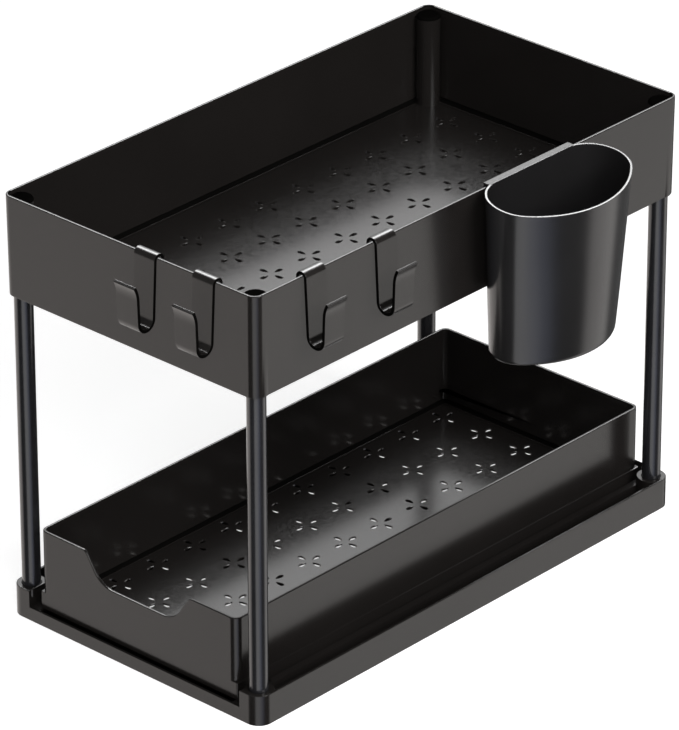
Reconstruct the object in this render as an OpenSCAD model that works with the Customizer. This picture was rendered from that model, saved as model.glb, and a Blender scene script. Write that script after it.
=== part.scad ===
// Two-tier under sink organizer with a pull-out drawer, hang-on hooks and a hang-on cup.
// Origin: middle of the base's front bottom edge, on the floor. +Z up, +X right, and the
// drawer pulls out towards -Y. Millimetres.

/* [Base] */
// Width of the base, side to side
base_w = 222; // [200:1:300]
// Depth of the base, front to back
base_d = 402; // [300:1:500]
// Height of the base walls
base_h = 21.5; // [19:0.5:30]
// Thickness of the base walls and of the drawer guides
base_wall = 2; // [1.6:0.1:3]
// Height of the front sill that the drawer passes over
sill_h = 9.3; // [8:0.1:11]
// Thickness of the ladder-shaped bottom plate
plate_t = 2.2; // [1.6:0.1:4]
// Width of the plate's long side strips
plate_side = 32; // [24:1:45]
// Width of the plate's strip behind the front sill
plate_front = 20; // [10:1:40]
// Width of each of the plate's two cross bars
bar_w = 36; // [15:1:50]
// Distance between the two cross bars, middle to middle
bar_pitch = 134; // [80:1:180]

/* [Posts] */
// Outside diameter of a post
post_d = 12.5; // [10:0.5:13]
// Wall of the post tube
post_wall = 1.2; // [0.8:0.1:2]
// Distance of each post axis from the two base faces beside it
post_inset = 10; // [9.5:0.5:13]
// Radial clearance of a post in its sockets
post_fit = 0.08; // [0.04:0.01:0.1]
// Floor under a post in the base socket
socket_floor = 3; // [2:0.5:6]
// Wall left between a base socket and the drawer opening
socket_web = 1.17; // [1:0.01:3]
// Chamfer round the mouth of a base socket
socket_chamfer = 0.9; // [0.3:0.1:1.5]

/* [Upper tray] */
// Height of the tray's underside above the floor
tray_z = 230.3; // [150:0.1:300]
// Height of the tray
tray_h = 70.3; // [50:0.1:100]
// How far the tray's long sides stand inside the base's
tray_in_x = 1.75; // [1:0.05:2.5]
// How far the tray's short sides stand inside the base's
tray_in_y = 1; // [0:0.1:2.5]
// Thickness of the tray walls
tray_wall = 2; // [1.6:0.1:3]
// Thickness of the tray floor
tray_floor = 3; // [2:0.1:4]
// Outside radius of the tray's upright corners
tray_r = 6.7; // [5:0.1:9]
// Wall of the round socket columns inside the tray corners
column_wall = 1.85; // [1.5:0.05:2]
// How far the columns end below the tray rim
column_drop = 2.6; // [1:0.1:8]
// Bevel round the top of a column
column_bevel = 2; // [1:0.1:3]

/* [Drawer] */
// How far the drawer front stands behind the base front
drawer_set = 4.8; // [3:0.1:8]
// Gap between the closed drawer and the base's rear wall
drawer_back = 4.7; // [1:0.1:15]
// Height of the drawer
drawer_h = 57.7; // [40:0.1:90]
// Thickness of the drawer walls
drawer_wall = 2; // [1.6:0.1:3]
// Thickness of the drawer floor
drawer_floor = 1.2; // [1:0.1:3]
// Outside radius of the drawer's upright corners
drawer_r = 5.5; // [4:0.1:10]
// Height of the square-cornered band round the foot of the drawer
skirt_h = 12.3; // [8:0.1:18]
// How far that band stands out of the drawer's long sides
skirt_out = 0.6; // [0.4:0.1:1.5]
// Corner radius of that band
skirt_r = 1; // [0.5:0.1:2]
// Width of the runner along each side of the drawer
runner_w = 5.5; // [4:0.1:8]
// Height of the runners
runner_h = 3.5; // [2.5:0.1:4.5]
// How far the runners start behind the drawer front
runner_start = 12; // [6:1:40]
// Clearance of the drawer and its runners in the guides
slide_gap = 0.4; // [0.3:0.05:0.8]
// Depth of the guide lip over a runner
guide_lip = 3; // [2:0.1:3.5]
// How far the guide lips start behind the base front
lip_start = 30; // [24:1:60]

/* [Drawer scoop] */
// Depth of the scoop in the drawer front
scoop_depth = 21; // [15:0.5:24]
// Half width of the scoop's level bottom
scoop_half = 23; // [10:1:35]
// Radius at the foot of the scoop's sides
scoop_foot_r = 17; // [10:1:20]
// Radius at the top of the scoop's sides
scoop_top_r = 5; // [2:0.5:6]
// Slope of the scoop's sides
scoop_slope = 57; // [45:1:70]

/* [Floor pattern] */
// How many flowers of drain slots stand side by side on a floor
flower_columns = 5; // [3:1:6]
// How many rows of flowers run from front to back
flower_rows = 11; // [7:1:13]
// Distance of the outer columns' middles from the base's long sides
flower_side = 41; // [32:0.5:48]
// Distance of the first and last rows' middles from the base's short sides
flower_end = 26; // [24:0.5:40]
// Distance from a flower's middle to the inner end of its slots
petal_in = 3.4; // [2:0.1:5]
// Distance from a flower's middle to the outer end of its slots
petal_out = 9.5; // [7:0.1:12]
// Width of a slot
petal_w = 3; // [1.2:0.1:3.5]

/* [Hooks] */
// Width of a hook strip
hook_w = 18; // [10:0.5:30]
// Thickness of a hook strip
hook_t = 2.2; // [1.5:0.1:3]
// Inside radius of the bend over the tray rim
hook_seat_r = 2.15; // [2:0.05:3]
// Gap between a hook's inner lip and the tray wall
hook_lip_gap = 0.45; // [0.3:0.05:0.6]
// Gap between a hook's bend and the tray rim that it hangs on
hook_seat_gap = 0.35; // [0.3:0.05:0.6]
// Length of a hook's inner lip
hook_lip = 12; // [6:1:30]
// Outward lean of a hook's long leg
hook_lean = 3; // [1:0.5:8]
// Length of a hook's long leg
hook_leg = 38.5; // [20:0.1:50]
// Inside radius of the hook's bowl
hook_bowl_r = 5.35; // [4:0.05:10]
// Outward lean of the hook's tip leg
hook_tip_lean = 2; // [0:0.5:10]
// Length of the straight part of the tip leg
hook_tip = 16.7; // [8:0.1:25]
// Radius of the outward curl at the tip
hook_curl_r = 21; // [8:1:40]
// Angle of the curl at the tip
hook_curl = 28; // [10:1:60]
// Place of the front hook nearer the corner, measured from the tray's right face
front_hook_near = 40.25; // [34:0.25:55]
// Place of the other front hook, measured from the tray's right face
front_hook_mid = 89.75; // [78:0.25:140]
// Place of the side hook nearer the corner, measured from the tray's front face
side_hook_near = 50; // [32:0.5:70]
// Place of the other side hook, measured from the tray's front face
side_hook_mid = 113.5; // [95:0.5:150]

/* [Cup] */
// Place of the cup's middle, measured from the tray's front face
cup_at = 253; // [220:1:270]
// Height of the cup, bottom to clip
cup_h = 115.4; // [60:0.1:150]
// Wall of the cup
cup_wall = 1.6; // [1.2:0.1:2.5]
// Floor of the cup
cup_floor = 2; // [1.5:0.1:3]
// Depth of the cup at its top, from its flat back
cup_depth = 60.5; // [50:0.5:80]
// Corner radius of the cup at its top
cup_r = 23.7; // [15:0.1:24]
// Half distance between the corner centres at the top
cup_half = 35; // [20:0.5:45]
// How much less deep the cup is at its bottom
cup_taper = 6; // [2:0.5:15]
// How much the corner radius shrinks towards the bottom
cup_r_taper = 3.7; // [1:0.1:6]
// How much the corner centres close in towards the bottom
cup_half_taper = 4; // [0:0.5:8]
// Radius round the bottom edge of the cup
cup_edge_r = 4; // [2:0.5:6]
// Slope of the cup's rim, down and away from the tray
cup_slope = 7.9; // [0:0.1:12]
// Length of the clip over the tray rim
clip_len = 81; // [50:1:100]
// How far the clip reaches down inside the tray
clip_drop = 15; // [8:1:25]
// Gap of the cup and its clip to the tray wall and rim
clip_gap = 0.3; // [0.3:0.05:0.6]

/* [Hidden] */
$fn = 64;
cut = 1; // how far a cutting solid runs past a face

grey = [0.29, 0.285, 0.28];
post_grey = [0.33, 0.325, 0.32];
cup_grey = [0.24, 0.24, 0.245];

post_x = base_w / 2 - post_inset;
post_y = base_d / 2 - post_inset;
bore_r = post_d / 2 + post_fit;
jamb_w = post_inset + bore_r + socket_web;
opening_half = base_w / 2 - jamb_w;

runner_half = opening_half - slide_gap;
skirt_half = runner_half - runner_w;
drawer_w = 2 * (skirt_half - skirt_out);
drawer_d = base_d - drawer_set - base_wall - drawer_back;
drawer_z = sill_h + slide_gap;

tray_w = base_w - 2 * tray_in_x;
tray_d = base_d - 2 * tray_in_y;
rim_z = tray_z + tray_h;
column_r = bore_r + column_wall;
column_top = tray_h - column_drop;
post_top = tray_z + column_top - column_bevel;

lip_z = drawer_z + runner_h + slide_gap;

column_pitch = (base_w - 2 * flower_side) / (flower_columns - 1);
row_pitch = (base_d - 2 * flower_end) / (flower_rows - 1);

// middle of the bend over the rim, from the wall's outer face and the rim's top
hook_u = hook_seat_r - hook_lip_gap - tray_wall;
hook_v = hook_seat_gap - sqrt(pow(hook_seat_r, 2) - pow(hook_seat_r - hook_lip_gap, 2));

cup_z = rim_z + clip_gap + cup_wall - cup_h;

// Rounded rectangle about the origin
module rounded(w, d, r) {
    square([w - 2 * r, d], center = true);
    square([w, d - 2 * r], center = true);
    for (sx = [-1, 1], sy = [-1, 1])
        translate([sx * (w / 2 - r), sy * (d / 2 - r)])
            circle(r);
}

// Four radial drain slots
module flower() {
    tip = petal_w / 2;
    for (a = [0:90:270])
        rotate(a)
            polygon([
                [petal_in, -tip / 2], [petal_out - tip, -tip], [petal_out, -tip / 2],
                [petal_out, tip / 2], [petal_out - tip, tip], [petal_in, tip / 2]
            ]);
}

// Flowers in even rows and columns about the origin
module flowers() {
    for (i = [0:flower_columns - 1], j = [0:flower_rows - 1])
        translate([(i - (flower_columns - 1) / 2) * column_pitch, (j - (flower_rows - 1) / 2) * row_pitch])
            flower();
}

// Open box about the origin, standing on z = 0, with flowers through its floor
module slotted_box(w, d, h, wall, floor_t, r) {
    difference() {
        linear_extrude(h)
            rounded(w, d, r);
        translate([0, 0, floor_t])
            linear_extrude(h)
                rounded(w - 2 * wall, d - 2 * wall, r - wall);
        translate([0, 0, -cut])
            linear_extrude(floor_t + 2 * cut)
                flowers();
    }
}

// What is made about the middle of the base goes to its place with this
module on_base() {
    translate([0, base_d / 2, 0])
        children();
}

module at_posts() {
    for (sx = [-1, 1], sy = [-1, 1])
        translate([sx * post_x, sy * post_y, 0])
            children();
}

// Guide for the drawer's right runner: ledge, upright and lip
module guide() {
    front = -base_d / 2 + base_wall / 2;
    long = base_d - base_wall;
    ledge = opening_half - skirt_half + base_wall;
    translate([opening_half, front, 0])
        cube([base_wall, long, lip_z + base_wall]);
    translate([opening_half - ledge, front, sill_h - base_wall])
        cube([ledge + base_wall / 2, long, base_wall]);
    translate([opening_half - guide_lip, lip_start - base_d / 2, lip_z])
        cube([guide_lip + base_wall / 2, base_d - base_wall / 2 - lip_start, base_wall]);
}

// Outer wall all round
module base_ring() {
    difference() {
        linear_extrude(base_h)
            rounded(base_w, base_d, post_inset);
        translate([0, 0, -cut])
            linear_extrude(base_h + 2 * cut)
                rounded(base_w - 2 * base_wall, base_d - 2 * base_wall, post_inset - base_wall);
    }
}

// Bottom plate with three windows, the rear one open up to the rear wall
module base_plate() {
    window_w = base_w - 2 * plate_side;
    front = -base_d / 2 + plate_front;
    bar_front = (bar_pitch + bar_w) / 2;
    bar_back = (bar_pitch - bar_w) / 2;
    linear_extrude(plate_t)
        difference() {
            rounded(base_w - base_wall, base_d - base_wall, post_inset - base_wall / 2);
            translate([-window_w / 2, front])
                square([window_w, -bar_front - front]);
            translate([-window_w / 2, -bar_back])
                square([window_w, 2 * bar_back]);
            translate([-window_w / 2, bar_front])
                square([window_w, base_d / 2 - base_wall - bar_front]);
        }
}

// Room for the drawer and its runners between the sockets, and the opening above the sill
module drawer_way() {
    translate([-opening_half, -base_d / 2 - cut, sill_h])
        cube([2 * opening_half, 2 * post_inset + cut, base_h]);
    translate([-opening_half, base_d / 2 - 2 * post_inset, sill_h])
        cube([2 * opening_half, 2 * post_inset - base_wall, lip_z - sill_h]);
}

module base() {
    color(grey)
        on_base()
            difference() {
                union() {
                    base_ring();
                    at_posts()
                        cylinder(r = post_inset, h = base_h);
                    for (side = [0, 1])
                        mirror([side, 0, 0])
                            guide();
                    base_plate();
                }
                drawer_way();
                translate([0, 0, socket_floor])
                    at_posts()
                        cylinder(r = bore_r, h = base_h);
                translate([0, 0, base_h - socket_chamfer])
                    at_posts()
                        cylinder(r1 = bore_r, r2 = bore_r + 2 * socket_chamfer, h = 2 * socket_chamfer);
            }
}

module post(sx, sy) {
    color(post_grey)
        on_base()
            translate([sx * post_x, sy * post_y, socket_floor])
                difference() {
                    cylinder(d = post_d, h = post_top - socket_floor);
                    translate([0, 0, -cut])
                        cylinder(d = post_d - 2 * post_wall, h = post_top + 2 * cut);
                }
}

module upper_tray() {
    color(grey)
        on_base()
            translate([0, 0, tray_z])
                difference() {
                    union() {
                        slotted_box(tray_w, tray_d, tray_h, tray_wall, tray_floor, tray_r);
                        at_posts() {
                            cylinder(r = column_r, h = column_top - column_bevel);
                            translate([0, 0, column_top - column_bevel])
                                cylinder(r1 = column_r, r2 = column_r - column_bevel, h = column_bevel);
                        }
                    }
                    translate([0, 0, -cut])
                        at_posts()
                            cylinder(r = bore_r, h = column_top - column_bevel + cut);
                }
}

// Half outline of the scoop, from its level bottom up the right side
function scoop_side(steps) =
    let (
        a = scoop_slope,
        foot_x = scoop_half,
        foot_z = scoop_foot_r,
        rise = scoop_depth - scoop_foot_r * (1 - cos(a)) - scoop_top_r * (1 - cos(a)),
        top_x = scoop_half + scoop_foot_r * sin(a) + rise / tan(a) + scoop_top_r * sin(a)
    )
    concat(
        [for (i = [0:steps]) [foot_x + scoop_foot_r * sin(a * i / steps),
                              foot_z - scoop_foot_r * cos(a * i / steps)]],
        [for (i = [steps:-1:0]) [top_x - scoop_top_r * sin(a * i / steps),
                                 scoop_depth - scoop_top_r * (1 - cos(a * i / steps))]]
    );

// Outline that the scoop takes out of the drawer front, with its bottom on z = 0
module scoop() {
    right = scoop_side(8);
    last = len(right) - 1;
    over = [[right[last][0], scoop_depth + cut], [-right[last][0], scoop_depth + cut]];
    left = [for (i = [last:-1:0]) [-right[i][0], right[i][1]]];
    polygon(concat(right, over, left));
}

module drawer() {
    mid_y = drawer_set + drawer_d / 2;
    inner_w = drawer_w - 2 * drawer_wall;
    inner_d = drawer_d - 2 * drawer_wall;
    color(grey)
        translate([0, mid_y, drawer_z])
            difference() {
                union() {
                    slotted_box(drawer_w, drawer_d, drawer_h, drawer_wall, drawer_floor, drawer_r);
                    difference() {
                        linear_extrude(skirt_h)
                            rounded(2 * skirt_half, drawer_d, skirt_r);
                        translate([0, 0, -cut])
                            linear_extrude(skirt_h + 2 * cut)
                                rounded(inner_w, inner_d, drawer_r - drawer_wall);
                    }
                    for (side = [0, 1])
                        mirror([side, 0, 0])
                            translate([skirt_half - skirt_out, runner_start - drawer_d / 2, 0])
                                cube([runner_w + skirt_out, drawer_d - runner_start, runner_h]);
                }
                translate([0, drawer_wall + cut - drawer_d / 2, drawer_h - scoop_depth])
                    rotate([90, 0, 0])
                        linear_extrude(drawer_wall + 2 * cut)
                            scoop();
            }
}

// A point on a hook's centre line is [x, y, heading]. Where a straight run ends
function moved(p, length) = [p[0] + length * cos(p[2]), p[1] + length * sin(p[2]), p[2]];

// Where an arc ends: a positive angle turns left
function turned(p, r, angle) =
    let (side = sign(angle) * r, heading = p[2] + angle)
    [p[0] + side * (sin(heading) - sin(p[2])), p[1] + side * (cos(p[2]) - cos(heading)), heading];

function arc_line(p, r, angle, steps) = [for (i = [0:steps]) turned(p, r, angle * i / steps)];

// A centre-line point moved sideways, to the left where the distance is positive
function beside(p, distance) = [p[0] - distance * sin(p[2]), p[1] + distance * cos(p[2])];

// Side view of a hook: x is out from the tray wall's outer face, y is up from the rim's top
module hook_outline() {
    seat_line_r = hook_seat_r + hook_t / 2;
    lip_end = [hook_u - seat_line_r, hook_v - hook_lip, 90];
    seat = arc_line(moved(lip_end, hook_lip), seat_line_r, hook_lean - 180, 16);
    bowl_start = moved(seat[len(seat) - 1], hook_leg);
    bowl = arc_line(bowl_start, hook_bowl_r + hook_t / 2, 180 - hook_lean - hook_tip_lean, 20);
    curl = arc_line(moved(bowl[len(bowl) - 1], hook_tip), hook_curl_r, -hook_curl, 5);
    line = concat([lip_end], seat, bowl, curl);
    last = len(line) - 1;
    polygon(concat(
        [for (p = line) beside(p, hook_t / 2)],
        [for (i = [last:-1:0]) beside(line[i], -hook_t / 2)]
    ));
}

module hook() {
    color(grey)
        rotate([90, 0, 0])
            linear_extrude(hook_w, center = true)
                hook_outline();
}

module front_hook(x) {
    translate([tray_w / 2 - x, tray_in_y, rim_z])
        rotate([0, 0, -90])
            hook();
}

module side_hook(y) {
    translate([tray_w / 2, tray_in_y + y, rim_z])
        hook();
}

// Points of a D outline with its flat back on x = 0: two round corners and a bowed front
function d_points(depth, half, r, steps) =
    let (
        reach = depth - r,
        bow_r = (pow(reach, 2) + pow(half, 2) - pow(r, 2)) / (2 * (reach - r)),
        meet = atan2(half, bow_r - reach)
    )
    concat(
        [for (i = [0:steps]) let (a = 180 + (180 - meet) * i / steps)
            [r + r * cos(a), -half + r * sin(a)]],
        [for (i = [1:steps - 1]) let (a = -meet + 2 * meet * i / steps)
            [depth - bow_r + bow_r * cos(a), bow_r * sin(a)]],
        [for (i = [0:steps]) let (a = meet + (180 - meet) * i / steps)
            [r + r * cos(a), half + r * sin(a)]]
    );

// Thin slice of the cup's form: share is 0 at the bottom and 1 at the top
module d_slice(share, z, inset) {
    thin = 0.02;
    depth = cup_depth - cup_taper * (1 - share);
    r = cup_r - cup_r_taper * (1 - share);
    half = cup_half - cup_half_taper * (1 - share);
    translate([inset, 0, z])
        linear_extrude(thin)
            polygon(d_points(depth - 2 * inset, half, r - inset, 12));
}

// Solid form of the cup, drawn in by the same inset all round, with a round bottom edge
module cup_form(inset, edge_r, bottom, top) {
    hull() {
        for (a = [0:30:90])
            d_slice(0, bottom + edge_r * (1 - sin(a)), inset + edge_r * (1 - cos(a)));
        d_slice(1, top, inset);
    }
}

module cup_clip() {
    inner = tray_wall + clip_gap + cup_wall;
    outer = clip_gap + cup_wall;
    translate([-inner, -clip_len / 2, cup_h - cup_wall])
        cube([inner + outer, clip_len, cup_wall]);
    translate([-inner, -clip_len / 2, cup_h - clip_drop])
        cube([cup_wall, clip_len, clip_drop]);
}

module cup() {
    color(cup_grey)
        translate([tray_w / 2, tray_in_y + cup_at, cup_z]) {
            difference() {
                translate([clip_gap, 0, 0])
                    difference() {
                        cup_form(0, cup_edge_r, 0, cup_h - 0.02);
                        cup_form(cup_wall, cup_edge_r - cup_wall / 2, cup_floor, cup_h + cut);
                    }
                translate([clip_gap, 0, cup_h])
                    rotate([0, cup_slope, 0])
                        translate([0, -cup_depth * 2, 0])
                            cube([cup_depth * 2, cup_depth * 4, cup_depth]);
            }
            cup_clip();
        }
}

base();
post(-1, -1);  // post_front_left
post(1, -1);  // post_front_right
post(-1, 1);  // post_rear_left
post(1, 1);  // post_rear_right
upper_tray();
drawer();
front_hook(front_hook_mid);  // hook_front_mid
front_hook(front_hook_near);  // hook_front_near
side_hook(side_hook_near);  // hook_side_near
side_hook(side_hook_mid);  // hook_side_mid
cup();
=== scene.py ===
import math
import bpy
import bmesh
from mathutils import Matrix, Vector


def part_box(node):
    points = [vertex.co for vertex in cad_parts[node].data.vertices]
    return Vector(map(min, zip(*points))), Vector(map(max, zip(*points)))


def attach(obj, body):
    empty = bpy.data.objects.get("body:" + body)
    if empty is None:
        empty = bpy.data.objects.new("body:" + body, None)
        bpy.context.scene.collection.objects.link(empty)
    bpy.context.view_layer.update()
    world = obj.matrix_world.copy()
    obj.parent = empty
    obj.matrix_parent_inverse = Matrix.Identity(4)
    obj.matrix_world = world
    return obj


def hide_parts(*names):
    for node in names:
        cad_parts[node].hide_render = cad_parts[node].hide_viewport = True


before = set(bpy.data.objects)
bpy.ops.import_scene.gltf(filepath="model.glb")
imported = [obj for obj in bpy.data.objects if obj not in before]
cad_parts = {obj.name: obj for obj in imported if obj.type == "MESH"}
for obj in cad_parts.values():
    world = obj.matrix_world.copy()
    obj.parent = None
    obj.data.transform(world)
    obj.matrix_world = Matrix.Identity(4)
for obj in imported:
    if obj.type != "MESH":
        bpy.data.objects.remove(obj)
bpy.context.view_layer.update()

mm = 0.001


# helpers for modelling

def deselectAll():
    if bpy.context.object and bpy.context.object.mode != "OBJECT":
        bpy.ops.object.mode_set(mode="OBJECT")
    bpy.ops.object.select_all(action="DESELECT")


def makeActive(piece):
    deselectAll()
    piece.select_set(True)
    bpy.context.view_layer.objects.active = piece


def settle(piece):  # place, turn and size go into the mesh
    makeActive(piece)
    bpy.ops.object.transform_apply(location=True, rotation=True, scale=True)
    return piece


def addBox(low, high, name="box"):
    deselectAll()
    low, high = Vector(low), Vector(high)
    bpy.ops.mesh.primitive_cube_add(size=1, location=(low + high) / 2)
    piece = bpy.context.object
    piece.name = name
    piece.scale = high - low
    return settle(piece)


def addRod(centre, radius, low, high, sides=64, name="rod"):
    deselectAll()
    spot = (centre[0], centre[1], (low + high) / 2)
    bpy.ops.mesh.primitive_cylinder_add(vertices=sides, radius=radius, depth=high - low, location=spot)
    bpy.context.object.name = name
    return settle(bpy.context.object)


def pickEdges(piece, test):  # into edit mode with only the edges that pass the test
    makeActive(piece)
    bpy.ops.object.mode_set(mode="EDIT")
    bpy.context.tool_settings.mesh_select_mode = (False, True, False)
    bpy.ops.mesh.select_all(action="DESELECT")
    mesh = bmesh.from_edit_mesh(piece.data)
    for edge in mesh.edges:
        edge.select_set(test(edge))
    bmesh.update_edit_mesh(piece.data)


def pickFaces(piece, test):
    makeActive(piece)
    bpy.ops.object.mode_set(mode="EDIT")
    bpy.context.tool_settings.mesh_select_mode = (False, False, True)
    bpy.ops.mesh.select_all(action="DESELECT")
    mesh = bmesh.from_edit_mesh(piece.data)
    for face in mesh.faces:
        face.select_set(test(face))
    bmesh.update_edit_mesh(piece.data)


def doneEditing():
    bpy.ops.object.mode_set(mode="OBJECT")


def roundEdges(piece, test, radius, segments, turn=90):
    pickEdges(piece, test)
    reach = radius * math.tan(math.radians(turn / 2))
    bpy.ops.mesh.bevel(offset=reach, offset_type="OFFSET", segments=segments, profile=0.5, affect="EDGES")
    doneEditing()


def isUpright(edge):
    a, b = [v.co for v in edge.verts]
    return abs(a.x - b.x) < 1.5 * mm and abs(a.y - b.y) < 1.5 * mm and abs(a.z - b.z) > 2 * mm


def liesAt(height, slack=0.02 * mm):
    return lambda edge: all(abs(v.co.z - height) < slack for v in edge.verts)


def isSharp(edge, degrees=40):
    return len(edge.link_faces) == 2 and edge.calc_face_angle(0) > math.radians(degrees)


def addModifier(piece, kind, **settings):
    makeActive(piece)
    modifier = piece.modifiers.new(kind.title(), kind)
    for key, value in settings.items():
        setattr(modifier, key, value)
    bpy.ops.object.modifier_apply(modifier=modifier.name)


def combine(piece, other, operation):
    addModifier(piece, "BOOLEAN", operation=operation, solver="EXACT", object=other)
    bpy.data.objects.remove(other)


def cutAway(piece, other):
    combine(piece, other, "DIFFERENCE")


def weldOn(piece, other):
    combine(piece, other, "UNION")


def roundedBox(low, high, cornerR, floorR=0, steps=10, name="box"):  # upright corners, then the bottom edge
    piece = addBox(low, high, name)
    if cornerR:
        roundEdges(piece, isUpright, cornerR, steps)
    if floorR:
        roundEdges(piece, liesAt(low[2]), floorR, 4)
    return piece


def tidyMesh(piece, angle=32):
    makeActive(piece)
    bpy.ops.object.mode_set(mode="EDIT")
    bpy.ops.mesh.select_all(action="SELECT")
    bpy.ops.mesh.remove_doubles(threshold=0.002 * mm)
    bpy.ops.mesh.dissolve_degenerate(threshold=0.001 * mm)
    doneEditing()
    bpy.ops.object.shade_smooth_by_angle(angle=math.radians(angle))
    addModifier(piece, "WEIGHTED_NORMAL", weight=100, keep_sharp=True)  # flat faces stay flat beside their rounds


def giveShadeMaterial(piece, material, test):  # a second material on the faces that pass the test; every use here gives the near-black painted shade
    piece.data.materials.append(material)
    pickFaces(piece, test)
    piece.active_material_index = 1
    bpy.ops.object.material_slot_assign()
    doneEditing()


def isShadedFootRound(floorTop, radius):  # the round between a wall and the floor, which gets the near-black painted shade of the crease
    def test(face):
        height = face.calc_center_median().z
        return floorTop < height < floorTop + radius and 0.03 < face.normal.z < 0.97
    return test


def handOver(piece, name, body, node, material):
    piece.name = name
    piece.data.name = name
    piece.data.materials.clear()
    piece.data.materials.append(material)
    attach(piece, body)
    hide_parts(node)
    print("made", name, len(piece.data.polygons), "faces")


# materials

def makeMaterial(name, look):
    material = bpy.data.materials.new(name)
    material.use_nodes = True
    nodes, links = material.node_tree.nodes, material.node_tree.links
    shader = nodes["Principled BSDF"]
    shader.inputs["Metallic"].default_value = look["metallic"]
    shader.inputs["IOR"].default_value = look["ior"]
    shader.inputs["Specular IOR Level"].default_value = look["specular"]
    shader.inputs["Coat Weight"].default_value = look["coat"]
    shader.inputs["Coat Roughness"].default_value = look["coatRoughness"]
    place = nodes.new("ShaderNodeTexCoord")

    cloud = nodes.new("ShaderNodeTexNoise")  # slow drift of shade over the moulding
    cloud.inputs["Scale"].default_value = look["cloudScale"]
    cloud.inputs["Detail"].default_value = 3
    links.new(place.outputs["Object"], cloud.inputs["Vector"])
    tint = nodes.new("ShaderNodeValToRGB")
    tint.color_ramp.elements[0].position = 0.3
    tint.color_ramp.elements[1].position = 0.7
    tint.color_ramp.elements[0].color = (*look["dark"], 1)
    tint.color_ramp.elements[1].color = (*look["light"], 1)
    links.new(cloud.outputs["Fac"], tint.inputs["Fac"])
    links.new(tint.outputs["Color"], shader.inputs["Base Color"])

    grain = nodes.new("ShaderNodeTexNoise")  # fine grain of the mould, or of the paint
    grain.inputs["Scale"].default_value = look["grainScale"]
    grain.inputs["Detail"].default_value = 4
    drag = nodes.new("ShaderNodeMapping")  # drawn out level, as faint lines round the walls
    drag.inputs["Scale"].default_value = look["drag"]
    links.new(place.outputs["Object"], drag.inputs["Vector"])
    links.new(drag.outputs["Vector"], grain.inputs["Vector"])
    span = nodes.new("ShaderNodeMapRange")
    span.inputs["From Min"].default_value = 0.3
    span.inputs["From Max"].default_value = 0.7
    span.inputs["To Min"].default_value = look["roughness"][0]
    span.inputs["To Max"].default_value = look["roughness"][1]
    links.new(grain.outputs["Fac"], span.inputs["Value"])
    links.new(span.outputs["Result"], shader.inputs["Roughness"])
    bump = nodes.new("ShaderNodeBump")
    bump.inputs["Strength"].default_value = look["bump"]
    bump.inputs["Distance"].default_value = look["bumpDepth"]
    links.new(grain.outputs["Fac"], bump.inputs["Height"])
    links.new(bump.outputs["Normal"], shader.inputs["Normal"])
    return material


bodyLook = {
    "dark": (0.0130, 0.0115, 0.0107), "light": (0.0170, 0.0150, 0.0140),
    "metallic": 0, "ior": 1.5, "specular": 0.5, "coat": 0, "coatRoughness": 0.2,
    "cloudScale": 9, "drag": (0.3, 0.3, 1), "grainScale": 1400, "roughness": (0.17, 0.23), "bump": 0.06, "bumpDepth": 0.1 * mm,
}
# near-black finish without gloss: painted shade, put on the column tops, the rounds at the foot of the walls, the
# plate under the drawer and the hooks' side edges
paintedShadeLook = {
    **bodyLook, "dark": (0.003, 0.0028, 0.0026), "light": (0.004, 0.0038, 0.0035),
    "specular": 0, "roughness": (0.4, 0.5),
}
postLook = {
    "dark": (0.016, 0.016, 0.018), "light": (0.021, 0.021, 0.024),
    "metallic": 0, "ior": 1.55, "specular": 0.5, "coat": 0.3, "coatRoughness": 0.12,
    "cloudScale": 25, "drag": (1, 1, 0.1), "grainScale": 2200, "roughness": (0.19, 0.25), "bump": 0.05, "bumpDepth": 0.05 * mm,
}
cupLook = {
    "dark": (0.0145, 0.0140, 0.0143), "light": (0.0185, 0.0180, 0.0185),
    "metallic": 0, "ior": 1.52, "specular": 0.5, "coat": 0.2, "coatRoughness": 0.1,
    "cloudScale": 14, "drag": (0.3, 0.3, 1), "grainScale": 1600, "roughness": (0.19, 0.25), "bump": 0.04, "bumpDepth": 0.08 * mm,
}
bodyPlastic = makeMaterial("bodyPlastic", bodyLook)
postPaint = makeMaterial("postPaint", postLook)
hookPlastic = makeMaterial("hookPlastic", {**bodyLook, "cloudScale": 60})
paintedShadeMatt = makeMaterial("paintedShadeMatt", paintedShadeLook)
cupPlastic = makeMaterial("cupPlastic", cupLook)


# posts

postSizes = {"wall": 1.2 * mm, "lead": 0.5 * mm, "sides": 72}
postNames = ["post_front_left", "post_front_right", "post_rear_left", "post_rear_right"]
postSpots = {}


def makePost(node):
    low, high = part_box(node)
    centre = ((low.x + high.x) / 2, (low.y + high.y) / 2)
    radius = (high.x - low.x) / 2
    postSpots[node] = centre
    post = addRod(centre, radius, low.z, high.z, postSizes["sides"])
    bore = addRod(centre, radius - postSizes["wall"], low.z - mm, high.z + mm, postSizes["sides"])
    cutAway(post, bore)
    roundEdges(post, lambda e: isSharp(e, 60), postSizes["lead"], 3)
    tidyMesh(post)
    handOver(post, node.replace("_", "-"), "stand", node, postPaint)


for node in postNames:
    makePost(node)


# slots in both floors

flowerSizes = {"pitch": 35 * mm, "petalIn": 3.3 * mm, "petalOut": 9.6 * mm, "petalWidth": 3 * mm, "flare": 0.3 * mm}


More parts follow.
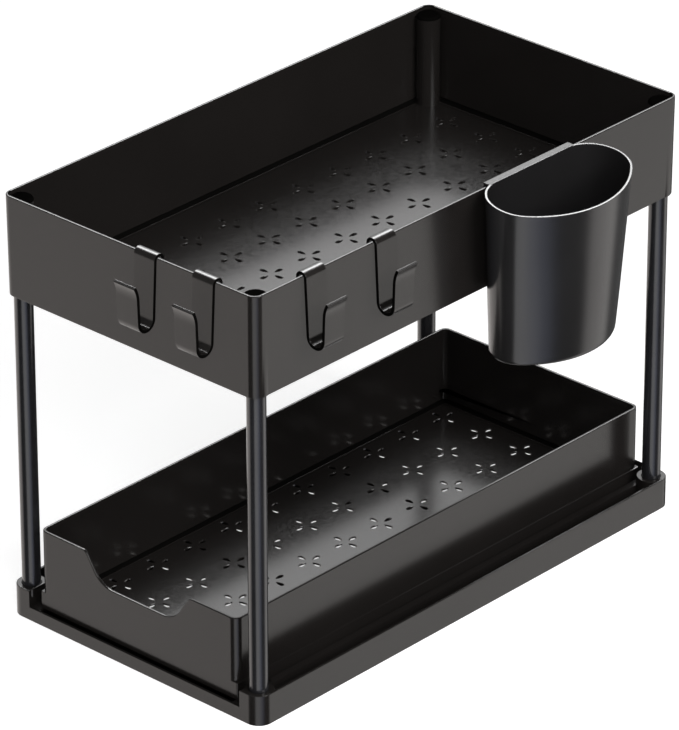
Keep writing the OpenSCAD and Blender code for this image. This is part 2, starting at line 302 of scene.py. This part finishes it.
def makeFlower(floorLow, floorTop):  # cutter for one flower of four leaf-shaped slots
    s = flowerSizes
    length = s["petalOut"] - s["petalIn"]
    deselectAll()
    bpy.ops.mesh.primitive_cylinder_add(vertices=14, radius=0.5, depth=1, location=(0, 0, 0))
    petal = bpy.context.object
    low, high = floorLow - mm, floorTop - s["flare"]
    petal.scale = (length, s["petalWidth"], high - low)
    petal.location = ((s["petalIn"] + s["petalOut"]) / 2, 0, (low + high) / 2)
    settle(petal)
    for vert in petal.data.vertices:  # leaf: widest towards the outer end
        share = (vert.co.x - s["petalIn"]) / length
        vert.co.y *= 0.62 + 0.55 * share
        vert.co.x += 0.05 * length * math.sin(math.pi * share)
    pickFaces(petal, lambda f: f.normal.z > 0.9)
    bpy.ops.mesh.extrude_region_move(TRANSFORM_OT_translate={"value": (0, 0, 2 * s["flare"])})
    bpy.ops.transform.resize(value=(1 + 4 * s["flare"] / length, 1 + 4 * s["flare"] / s["petalWidth"], 1))
    doneEditing()
    petals = [petal]
    for turn in range(1, 4):
        copy = petal.copy()
        copy.data = petal.data.copy()
        bpy.context.collection.objects.link(copy)
        copy.rotation_euler = (0, 0, turn * math.pi / 2)
        settle(copy)
        petals.append(copy)
    deselectAll()
    for part in petals:
        part.select_set(True)
    bpy.context.view_layer.objects.active = petal
    bpy.ops.object.join()
    return petal


def cutFlowers(piece, low, high, wall, floorLow, floorTop):
    pitch = flowerSizes["pitch"]
    reach = [(high[i] - low[i]) / 2 - wall - flowerSizes["petalOut"] for i in (0, 1)]
    counts = [math.floor(r / pitch) for r in reach]
    flower = makeFlower(floorLow, floorTop)
    for axis in (0, 1):
        offset = [0, 0, 0]
        offset[axis] = pitch
        addModifier(flower, "ARRAY", count=2 * counts[axis] + 1, use_relative_offset=False,
                    use_constant_offset=True, constant_offset_displace=offset)
    middle = (Vector(low) + Vector(high)) / 2
    flower.location = (middle.x - counts[0] * pitch, middle.y - counts[1] * pitch, 0)
    settle(flower)
    cutAway(piece, flower)


# upper tray

traySizes = {
    "wall": 2 * mm, "floor": 3 * mm, "cornerR": 6.7 * mm, "draft": 0.5 * mm, "footR": 0.8 * mm,
    "insideR": 3 * mm, "rimR": 0.7 * mm, "columnR": 8.18 * mm, "columnDrop": 2.6 * mm, "columnTopR": 2.2 * mm,
}


def narrowFoot(piece, low, high, draft):  # the walls lean in a little towards the foot
    makeActive(piece)
    size = high - low
    middle = (low + high) / 2
    for vert in piece.data.vertices:
        if abs(vert.co.z - low.z) < 0.01 * mm:
            vert.co.x = middle.x + (vert.co.x - middle.x) * (1 - 2 * draft / size.x)
            vert.co.y = middle.y + (vert.co.y - middle.y) * (1 - 2 * draft / size.y)


def makeTray():
    s = traySizes
    low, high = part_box("upper_tray")
    top = high.z
    tray = addBox(low, high)
    narrowFoot(tray, low, high, s["draft"])
    roundEdges(tray, isUpright, s["cornerR"], 12)
    roundEdges(tray, liesAt(low.z), s["footR"], 3)
    inside = Vector((s["wall"], s["wall"], 0))
    cavity = roundedBox(low + inside + Vector((0, 0, s["floor"])), high - inside + Vector((0, 0, 5 * mm)),
                        s["cornerR"] - s["wall"], s["insideR"])
    cutAway(tray, cavity)
    roundEdges(tray, lambda e: liesAt(top)(e) and isSharp(e), s["rimR"], 3)
    for node in postNames:
        column = addRod(postSpots[node], s["columnR"], low.z + 0.4 * mm, top - s["columnDrop"], 64)
        roundEdges(column, liesAt(top - s["columnDrop"]), s["columnTopR"], 4)
        weldOn(tray, column)
        postLow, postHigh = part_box(node)
        radius = (postHigh.x - postLow.x) / 2 + 0.08 * mm
        cutAway(tray, addRod(postSpots[node], radius, low.z - mm, postHigh.z))
    cutFlowers(tray, low, high, s["wall"], low.z, low.z + s["floor"])
    tidyMesh(tray)
    handOver(tray, "upperTray", "stand", "upper_tray", bodyPlastic)

    def onShadedColumnTop(face):
        spot = face.calc_center_median()
        near = min((spot.xy - Vector(postSpots[node])).length for node in postNames)
        return spot.z > top - s["columnDrop"] - s["columnTopR"] and near < s["columnR"] and face.normal.z > 0.1

    shadedFootRound = isShadedFootRound(low.z + s["floor"], s["insideR"])
    # column tops and the round at the foot of the walls: near-black painted shade of the recess and the crease
    giveShadeMaterial(tray, paintedShadeMatt, lambda f: onShadedColumnTop(f) or shadedFootRound(f))


makeTray()


# drawer

drawerSizes = {
    "wall": 2 * mm, "floor": 1.2 * mm, "cornerR": 5.5 * mm, "insideR": 2.8 * mm, "rimR": 0.65 * mm,
    "skirtHalf": 87.6 * mm, "skirtOut": 0.6 * mm, "skirtH": 12.3 * mm, "skirtR": 1 * mm, "skirtTopR": 0.5 * mm,
    "runnerStart": 12 * mm, "runnerH": 3.5 * mm,
    "scoopDepth": 21 * mm, "scoopHalf": 23 * mm, "scoopFootR": 17 * mm, "scoopTopR": 5 * mm, "scoopSlope": 57,
}


def makeScoopCutter(top, front, wall):
    s = drawerSizes
    slope = math.radians(s["scoopSlope"])
    half = s["scoopHalf"] + s["scoopFootR"] * math.tan(slope / 2)
    above = 4 * mm
    cutter = addBox((-half, front - 5 * mm, top - s["scoopDepth"]), (half, front + wall + mm, top + above))
    spread = (s["scoopDepth"] + above) / math.tan(slope)
    for vert in cutter.data.vertices:
        if vert.co.z > top:
            vert.co.x += math.copysign(spread, vert.co.x)
    foot = liesAt(top - s["scoopDepth"])
    roundEdges(cutter, lambda e: foot(e) and abs(e.verts[0].co.x - e.verts[1].co.x) < mm, s["scoopFootR"], 14,
               s["scoopSlope"])
    return cutter


def makeDrawer():
    s = drawerSizes
    low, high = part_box("drawer")
    bodyHalf = s["skirtHalf"] - s["skirtOut"]
    front, back, foot, top = low.y, high.y, low.z, high.z
    drawer = roundedBox((-bodyHalf, front, foot), (bodyHalf, back, top), s["cornerR"])
    skirt = roundedBox((-s["skirtHalf"], front - 0.01 * mm, foot - 0.01 * mm),
                       (s["skirtHalf"], back + 0.01 * mm, foot + s["skirtH"]), s["skirtR"])
    roundEdges(skirt, liesAt(foot + s["skirtH"]), s["skirtTopR"], 2)
    weldOn(drawer, skirt)
    runner = addBox((low.x, front + s["runnerStart"], foot), (high.x, back - 0.3 * mm, foot + s["runnerH"]))
    roundEdges(runner, lambda e: isSharp(e, 60), 0.3 * mm, 2)
    weldOn(drawer, runner)
    cavity = roundedBox((-bodyHalf + s["wall"], front + s["wall"], foot + s["floor"]),
                        (bodyHalf - s["wall"], back - s["wall"], top + 5 * mm),
                        s["cornerR"] - s["wall"], s["insideR"])
    cutAway(drawer, cavity)
    cutAway(drawer, makeScoopCutter(top, front, s["wall"]))

    def onShoulder(edge):  # where the scoop meets the rim
        a, b = [v.co for v in edge.verts]
        across = abs(a.x - b.x) < 0.05 * mm and abs(a.x) < 60 * mm
        return across and isSharp(edge) and liesAt(top)(edge) and max(a.y, b.y) < front + 2 * s["wall"]

    roundEdges(drawer, onShoulder, s["scoopTopR"], 8, s["scoopSlope"])

    def onRim(edge):
        if not isSharp(edge):
            return False
        heights = [v.co.z for v in edge.verts]
        depths = [v.co.y for v in edge.verts]
        if min(heights) > top - 0.02 * mm:
            return True
        inFront = max(depths) < front + s["wall"] + 0.05 * mm and abs(depths[0] - depths[1]) < 0.02 * mm
        return inFront and min(heights) > top - s["scoopDepth"] - 0.05 * mm and abs(edge.verts[0].co.x) < 60 * mm

    roundEdges(drawer, onRim, s["rimR"], 3)
    cutFlowers(drawer, (-bodyHalf, front, foot), (bodyHalf, back, top), s["wall"], foot, foot + s["floor"])
    tidyMesh(drawer)
    handOver(drawer, "pullOutDrawer", "drawer_body", "drawer", bodyPlastic)
    # the round at the foot of the walls: near-black painted shade of the crease
    giveShadeMaterial(drawer, paintedShadeMatt, isShadedFootRound(foot + s["floor"], s["insideR"]))


makeDrawer()


# base

baseSizes = {
    "wall": 2 * mm, "sill": 9.3 * mm, "plate": 2.2 * mm, "plateSide": 32 * mm, "plateFront": 20 * mm,
    "barW": 36 * mm, "barPitch": 134 * mm, "inset": 10 * mm, "openingHalf": 93.5 * mm, "socketFloor": 3 * mm,
    "lipZ": 13.6 * mm, "guideLip": 3 * mm, "lipStart": 30 * mm, "ledge": 7.9 * mm, "rimR": 0.6 * mm,
    "mouthR": 0.9 * mm,
}


def makeBase():
    s = baseSizes
    low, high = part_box("base")
    half, back, top = high.x, high.y, high.z
    wall, opening = s["wall"], s["openingHalf"]
    base = roundedBox(low, high, s["inset"], steps=16)
    room = roundedBox((-half + wall, wall, s["plate"]), (half - wall, back - wall, top + 5 * mm),
                      s["inset"] - wall, steps=16)
    for node in postNames:
        cutAway(room, addRod(postSpots[node], s["inset"] - 0.02 * mm, 0, top + 8 * mm, 64))
    cutAway(base, room)
    for side in (-1, 1):
        inner, outer = sorted((side * opening, side * (opening + wall)))
        weldOn(base, addBox((inner, wall / 2, 0.5 * mm), (outer, back - wall / 2, s["lipZ"] + wall)))
        inner, outer = sorted((side * (opening - s["ledge"]), side * (opening + wall / 2)))
        weldOn(base, addBox((inner, wall / 2, s["sill"] - wall), (outer, back - wall / 2, s["sill"] - 0.01 * mm)))
        inner, outer = sorted((side * (opening - s["guideLip"]), side * (opening + wall / 2)))
        weldOn(base, addBox((inner, s["lipStart"], s["lipZ"]), (outer, back - wall / 2, s["lipZ"] + wall - 0.01 * mm)))
    way = addBox((-opening, -5 * mm, s["sill"]), (opening, 2 * s["inset"], top + 5 * mm))
    cutAway(base, way)
    cutAway(base, addBox((-opening, back - 2 * s["inset"], s["sill"]), (opening, back - wall, s["lipZ"])))
    window = half - s["plateSide"]
    middle = back / 2
    bars = [middle - s["barPitch"] / 2, middle + s["barPitch"] / 2]
    reach = s["barW"] / 2
    for near, far in ((s["plateFront"], bars[0] - reach), (bars[0] + reach, bars[1] - reach),
                      (bars[1] + reach, back - wall)):
        cutAway(base, addBox((-window, near, -5 * mm), (window, far, s["plate"] + mm)))
    for node in postNames:
        radius = (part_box(node)[1].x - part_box(node)[0].x) / 2 + 0.08 * mm
        cutAway(base, addRod(postSpots[node], radius, s["socketFloor"], top + 5 * mm, 64))
    roundEdges(base, lambda e: isSharp(e, 50) and min(v.co.z for v in e.verts) > top - 0.03 * mm, s["rimR"], 3)
    roundEdges(base, lambda e: isSharp(e, 50) and liesAt(s["sill"])(e) and max(v.co.y for v in e.verts) < mm,
               0.4 * mm, 2)
    tidyMesh(base)
    handOver(base, "baseFrame", "stand", "base", bodyPlastic)
    # the plate under the drawer gets near-black painted shade of the drawer above it, and mirrors none of the drawer's
    # slots
    giveShadeMaterial(base, paintedShadeMatt, lambda f: f.normal.z > 0.9 and f.calc_center_median().z < s["plate"] + 0.1 * mm)


makeBase()


# hooks

hookSizes = {
    "width": 18 * mm, "thick": 2.2 * mm, "seatR": 2.15 * mm, "lipGap": 0.45 * mm, "seatGap": 0.35 * mm,
    "lip": 12 * mm, "lean": 3, "leg": 38.5 * mm, "bowlR": 5.35 * mm, "tipLean": 2, "tip": 16.7 * mm,
    "curlR": 21 * mm, "curl": 28, "edgeR": 0.35 * mm,
}


def makeHook(node, wallFace, sideways):  # bent from a strip: straight runs are extruded, bends are spun
    s = hookSizes
    low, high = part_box(node)
    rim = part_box("upper_tray")[1].z
    wall = traySizes["wall"]
    seatLine = s["seatR"] + s["thick"] / 2
    seatX = s["seatR"] - s["lipGap"] - wall
    seatZ = s["seatGap"] - math.sqrt(s["seatR"] ** 2 - (s["seatR"] - s["lipGap"]) ** 2)
    lipX = seatX - seatLine
    hook = addBox((lipX - s["thick"] / 2, -s["width"] / 2, seatZ - s["lip"]),
                  (lipX + s["thick"] / 2, s["width"] / 2, seatZ))
    pickFaces(hook, lambda f: f.normal.z > 0.9)
    point = Vector((lipX, 0, seatZ))
    heading = 90

    def spinBend(radius, angle, steps):  # a positive angle turns away from the wall
        nonlocal point, heading
        side = math.copysign(1, angle)
        a = math.radians(heading - 90 * side)
        centre = point + radius * Vector((math.cos(a), 0, math.sin(a)))
        bpy.ops.mesh.spin(steps=steps, angle=-math.radians(angle), center=centre, axis=(0, 1, 0))
        point = centre + Matrix.Rotation(math.radians(angle), 3, "Y") @ (point - centre)
        heading -= angle

    def runOn(length):
        nonlocal point
        a = math.radians(heading)
        move = length * Vector((math.cos(a), 0, math.sin(a)))
        bpy.ops.mesh.extrude_region_move(TRANSFORM_OT_translate={"value": move})
        point = point + move

    spinBend(seatLine, 180 - s["lean"], 16)
    runOn(s["leg"])
    spinBend(s["bowlR"] + s["thick"] / 2, -(180 - s["lean"] - s["tipLean"]), 20)
    runOn(s["tip"])
    spinBend(s["curlR"], s["curl"], 6)
    bpy.ops.mesh.select_all(action="SELECT")
    bpy.ops.mesh.remove_doubles(threshold=0.001 * mm)
    bpy.ops.mesh.normals_make_consistent(inside=False)
    doneEditing()
    roundEdges(hook, lambda e: isSharp(e, 60), s["edgeR"], 3)
    if sideways:
        hook.location = (wallFace, (low.y + high.y) / 2, rim)
    else:
        hook.rotation_euler = (0, 0, -math.pi / 2)
        hook.location = ((low.x + high.x) / 2, wallFace, rim)
    settle(hook)
    tidyMesh(hook, 40)
    handOver(hook, node.replace("_", "-"), node + "_body", node, hookPlastic)
    along = 1 if sideways else 0
    # the strip's side edges: near-black painted shade
    giveShadeMaterial(hook, paintedShadeMatt, lambda f: abs(f.normal[along]) > 0.5)
    hook.visible_glossy = False  # the photograph's walls mirror no hook


trayLow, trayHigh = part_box("upper_tray")
for node in ("hook_front_mid", "hook_front_near"):
    makeHook(node, trayLow.y, False)
for node in ("hook_side_near", "hook_side_mid"):
    makeHook(node, trayHigh.x, True)


# cup

cupSizes = {
    "wall": 1.6 * mm, "floor": 2 * mm, "depth": 60.5 * mm, "cornerR": 23.7 * mm, "half": 35 * mm,
    "taper": 6 * mm, "cornerTaper": 3.7 * mm, "halfTaper": 4 * mm, "edgeR": 4 * mm, "slope": 7.9,
    "gap": 0.3 * mm, "clipLength": 81 * mm, "clipDrop": 15 * mm, "rimR": 0.3 * mm, "steps": 16,
}


def dOutline(share, inset):  # flat back on x = 0, two round corners and a bowed front
    s = cupSizes
    r = s["cornerR"] - s["cornerTaper"] * (1 - share) - inset
    half = s["half"] - s["halfTaper"] * (1 - share)
    depth = s["depth"] - s["taper"] * (1 - share) - 2 * inset
    reach = depth - r
    bowR = (reach ** 2 + half ** 2 - r ** 2) / (2 * (reach - r))
    meet = math.atan2(half, bowR - reach)
    steps = s["steps"]
    points = []
    for i in range(steps + 1):
        a = math.pi + (math.pi - meet) * i / steps
        points.append((r + r * math.cos(a), -half + r * math.sin(a)))
    for i in range(1, 2 * steps):
        a = -meet + meet * i / steps
        points.append((depth - bowR + bowR * math.cos(a), bowR * math.sin(a)))
    for i in range(steps + 1):
        a = meet + (math.pi - meet) * i / steps
        points.append((r + r * math.cos(a), half + r * math.sin(a)))
    for i in range(1, steps):
        points.append((0, half - 2 * half * i / steps))
    return [(x + inset, y) for x, y in points]


def makeCup():  # lofted ring by ring: each ring is extruded from the last and set on its outline
    s = cupSizes
    low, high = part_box("cup")
    middleY = (low.y + high.y) / 2
    backX = trayHigh.x + s["gap"]
    height = high.z - low.z
    slope = math.tan(math.radians(s["slope"]))

    def ringAt(level, inset, drop):  # level 0 is the bottom, 1 the sloping rim; drop is measured down from there
        return [Vector((backX + x, middleY + y, low.z + level * (height - slope * x) - drop))
                for x, y in dOutline(level, inset)]

    rings = []
    for degrees in (0, 15, 30, 45, 60, 75, 90):  # the foot's round edge
        a = math.radians(degrees)
        rings.append(ringAt(0, s["edgeR"] * (1 - math.sin(a)), -s["edgeR"] * (1 - math.cos(a))))
    for level in (0.25, 0.5, 0.75):
        rings.append(ringAt(level, 0, 0))
    rim = s["rimR"]
    for degrees in (0, 30, 60, 90):  # round the rim's outer edge
        a = math.radians(degrees)
        rings.append(ringAt(1, rim * (1 - math.cos(a)), rim * (1 - math.sin(a))))
    for degrees in (90, 60, 30, 0):  # and its inner edge
        a = math.radians(degrees)
        rings.append(ringAt(1, s["wall"] - rim * (1 - math.cos(a)), rim * (1 - math.sin(a))))
    for level in (0.75, 0.5, 0.25):
        rings.append(ringAt(level, s["wall"], 0))
    innerR = s["edgeR"] - s["wall"] / 2
    for degrees in (90, 70, 50, 30, 10, 0):
        a = math.radians(degrees)
        rings.append(ringAt(0, s["wall"] + innerR * (1 - math.sin(a)), -s["floor"] - innerR * (1 - math.cos(a))))

    deselectAll()
    bpy.ops.mesh.primitive_circle_add(vertices=len(rings[0]), radius=s["half"], fill_type="NGON", enter_editmode=True)
    cup = bpy.context.object
    mesh = bmesh.from_edit_mesh(cup.data)
    turning = list(mesh.faces[:][0].verts)
    for vert, spot in zip(turning, rings[0]):
        vert.co = spot
    for ring in rings[1:]:
        bpy.ops.mesh.extrude_region_move()
        mesh = bmesh.from_edit_mesh(cup.data)
        face = next(f for f in mesh.faces if f.select)
        for vert, spot in zip(face.verts, ring):
            vert.co = spot
        bmesh.update_edit_mesh(cup.data)
    bpy.ops.mesh.select_all(action="SELECT")
    bpy.ops.mesh.normals_make_consistent(inside=False)
    doneEditing()

    inner = traySizes["wall"] + s["gap"] + s["wall"]
    outer = s["gap"] + s["wall"]
    halfClip = s["clipLength"] / 2
    plate = addBox((trayHigh.x - inner, middleY - halfClip, high.z - s["wall"]),
                   (trayHigh.x + outer, middleY + halfClip, high.z))
    lip = addBox((trayHigh.x - inner, middleY - halfClip, high.z - s["clipDrop"]),
                 (trayHigh.x - inner + s["wall"], middleY + halfClip, high.z - 0.5 * mm))
    weldOn(plate, lip)
    roundEdges(plate, lambda e: isSharp(e, 60), 0.35 * mm, 3)
    weldOn(cup, plate)
    tidyMesh(cup, 35)
    handOver(cup, "hangOnCup", "cup_body", "cup", cupPlastic)


makeCup()


# studio: floor, backdrop, lamps and camera

studio = {
    "floorSize": 12, "floorShade": 0.86, "floorGlow": 0.71, "fillStrength": 0.27, "aim": (0, 0.2, 0.2),
    "lowCards": [  # degrees round from the front, and colour: what the upright faces mirror
        (-180, (0.12, 0.12, 0.12)), (-150, (0.12, 0.12, 0.12)), (-128, (0.9, 0.88, 0.86)),
        (-100, (1.18, 1.11, 1.07)), (-46, (1.18, 1.11, 1.07)), (-27, (0.03, 0.03, 0.03)), (12, (0.03, 0.03, 0.03)),
        (24, (1.3, 1.3, 1.32)), (45, (1.3, 1.3, 1.35)), (60, (0.95, 0.98, 1.12)), (72, (0.46, 0.5, 0.66)),
        (88, (0.04, 0.05, 0.08)), (94, (0.02, 0.02, 0.02)), (117, (0.02, 0.02, 0.02)), (133, (1.1, 1.07, 1.04)),
        (158, (1.1, 1.07, 1.04)), (175, (0.12, 0.12, 0.12)), (180, (0.12, 0.12, 0.12)),
    ],
    "highCards": [  # the same above the horizon: what the floors mirror
        (-180, (1.05, 1.05, 1.05)), (-110, (1.05, 1.05, 1.05)), (-75, (0.1, 0.1, 0.1)), (0, (0.2, 0.2, 0.2)),
        (80, (0.2, 0.2, 0.2)), (110, (0.03, 0.03, 0.03)), (150, (0.03, 0.03, 0.03)), (172, (0.8, 0.8, 0.8)),
        (180, (1.05, 1.05, 1.05)),
    ],
    "lamps": [  # name, place, width and height, radiance, seen in gloss, lights matt surfaces
        ("softbox", (-0.95, 1.15, 1.75), (2.4, 0.8), 13, True, False),
        ("backCard", (-0.96, 1.24, 0.95), (0.8, 0.5), 1.1, True, False),
        ("sideLamp", (1.6, 0.25, 1.25), (0.9, 0.9), 8, True, True),
        ("frontFill", (1.3, -1.3, 1.7), (0.9, 0.9), 6, False, True),
    ],
}


def makeFloor():  # white to the camera, with the object's shadow on it
    deselectAll()
    bpy.ops.mesh.primitive_plane_add(size=studio["floorSize"], location=(0, 0.2, 0))
    floor = settle(bpy.context.object)
    floor.name = "studioFloor"
    floor.visible_glossy = False
    material = bpy.data.materials.new("studioFloor")
    material.use_nodes = True
    nodes, links = material.node_tree.nodes, material.node_tree.links
    shader = nodes["Principled BSDF"]
    shade = studio["floorShade"]
    shader.inputs["Base Color"].default_value = (shade, shade, shade, 1)
    shader.inputs["Roughness"].default_value = 0.9
    shader.inputs["Specular IOR Level"].default_value = 0
    glow = nodes.new("ShaderNodeEmission")
    glow.inputs["Color"].default_value = (1, 1, 1, 1)
    ray = nodes.new("ShaderNodeLightPath")
    strength = nodes.new("ShaderNodeMath")
    strength.operation = "MULTIPLY"
    strength.inputs[1].default_value = studio["floorGlow"]
    links.new(ray.outputs["Is Camera Ray"], strength.inputs[0])
    links.new(strength.outputs[0], glow.inputs["Strength"])
    both = nodes.new("ShaderNodeAddShader")
    links.new(shader.outputs["BSDF"], both.inputs[0])
    links.new(glow.outputs["Emission"], both.inputs[1])
    links.new(both.outputs["Shader"], nodes["Material Output"].inputs["Surface"])
    floor.data.materials.append(material)


def makeCards(nodes, links, turn, cards):  # one band of cards standing round the object
    band = nodes.new("ShaderNodeValToRGB")
    band.color_ramp.interpolation = "EASE"
    while len(band.color_ramp.elements) < len(cards):
        band.color_ramp.elements.new(0.5)
    for stop, (degrees, colour) in zip(band.color_ramp.elements, cards):
        stop.position = (degrees + 180) / 360
        stop.color = (*colour, 1)
    links.new(turn, band.inputs["Fac"])
    return band.outputs["Color"]


def makeWorld():  # white to the camera, even light for matt surfaces, bright and dark cards for gloss
    world = bpy.data.worlds.new("studio")
    bpy.context.scene.world = world
    world.use_nodes = True
    nodes, links = world.node_tree.nodes, world.node_tree.links
    place = nodes.new("ShaderNodeTexCoord")
    parts = nodes.new("ShaderNodeSeparateXYZ")
    links.new(place.outputs["Generated"], parts.inputs["Vector"])
    flip = nodes.new("ShaderNodeMath")
    flip.operation = "MULTIPLY"
    flip.inputs[1].default_value = -1
    links.new(parts.outputs["Y"], flip.inputs[0])
    around = nodes.new("ShaderNodeMath")
    around.operation = "ARCTAN2"
    links.new(parts.outputs["X"], around.inputs[0])
    links.new(flip.outputs[0], around.inputs[1])
    turn = nodes.new("ShaderNodeMapRange")
    turn.inputs["From Min"].default_value = -math.pi
    turn.inputs["From Max"].default_value = math.pi
    links.new(around.outputs[0], turn.inputs["Value"])
    low = makeCards(nodes, links, turn.outputs["Result"], studio["lowCards"])
    high = makeCards(nodes, links, turn.outputs["Result"], studio["highCards"])
    rise = nodes.new("ShaderNodeMapRange")
    rise.interpolation_type = "SMOOTHSTEP"
    rise.inputs["From Min"].default_value = -0.16
    rise.inputs["From Max"].default_value = 0
    links.new(parts.outputs["Z"], rise.inputs["Value"])
    cards = nodes.new("ShaderNodeMix")
    cards.data_type = "RGBA"
    links.new(rise.outputs["Result"], cards.inputs["Factor"])
    links.new(low, cards.inputs["A"])
    links.new(high, cards.inputs["B"])
    mirrored = nodes.new("ShaderNodeBackground")
    links.new(next(o for o in cards.outputs if o.type == "RGBA"), mirrored.inputs["Color"])
    fill = nodes["Background"]
    fill.inputs["Color"].default_value = (1, 1, 1, 1)
    fill.inputs["Strength"].default_value = studio["fillStrength"]
    white = nodes.new("ShaderNodeBackground")
    white.inputs["Color"].default_value = (1, 1, 1, 1)
    ray = nodes.new("ShaderNodeLightPath")
    forGloss = nodes.new("ShaderNodeMixShader")
    links.new(ray.outputs["Is Glossy Ray"], forGloss.inputs["Fac"])
    links.new(fill.outputs["Background"], forGloss.inputs[1])
    links.new(mirrored.outputs["Background"], forGloss.inputs[2])
    forCamera = nodes.new("ShaderNodeMixShader")
    links.new(ray.outputs["Is Camera Ray"], forCamera.inputs["Fac"])
    links.new(forGloss.outputs["Shader"], forCamera.inputs[1])
    links.new(white.outputs["Background"], forCamera.inputs[2])
    links.new(forCamera.outputs["Shader"], nodes["World Output"].inputs["Surface"])


def makeLamps():
    aim = Vector(studio["aim"])
    for name, place, size, radiance, inGloss, onMatt in studio["lamps"]:
        lamp = bpy.data.lights.new(name, "AREA")
        lamp.shape = "RECTANGLE"
        lamp.size, lamp.size_y = size
        lamp.energy = radiance * math.pi * size[0] * size[1]
        holder = bpy.data.objects.new(name, lamp)
        holder.location = place
        holder.rotation_euler = (aim - Vector(place)).to_track_quat("-Z", "Y").to_euler()
        holder.visible_camera = False
        holder.visible_glossy = inGloss
        holder.visible_diffuse = onMatt
        bpy.context.collection.objects.link(holder)


def makeCamera():  # the photograph's viewpoint, solved from its straight edges
    lens = bpy.data.cameras.new("camera")
    camera = bpy.data.objects.new("camera", lens)
    bpy.context.collection.objects.link(camera)
    right = Vector((0.73548, 0.67754, -0.00133))
    up = Vector((-0.30970, 0.33793, 0.88876))
    back = Vector((0.60262, -0.65325, 0.45838))
    turn = Matrix((right, up, back)).transposed().to_4x4()
    camera.matrix_world = Matrix.Translation((2.319806, -2.320202, 1.908733)) @ turn
    lens.sensor_width = 36
    lens.lens = 293.12
    lens.clip_start = 0.1
    lens.clip_end = 100
    bpy.context.scene.camera = camera


makeFloor()
makeWorld()
makeLamps()
makeCamera()
bpy.context.scene.view_settings.view_transform = "Standard"
print("studio ready")
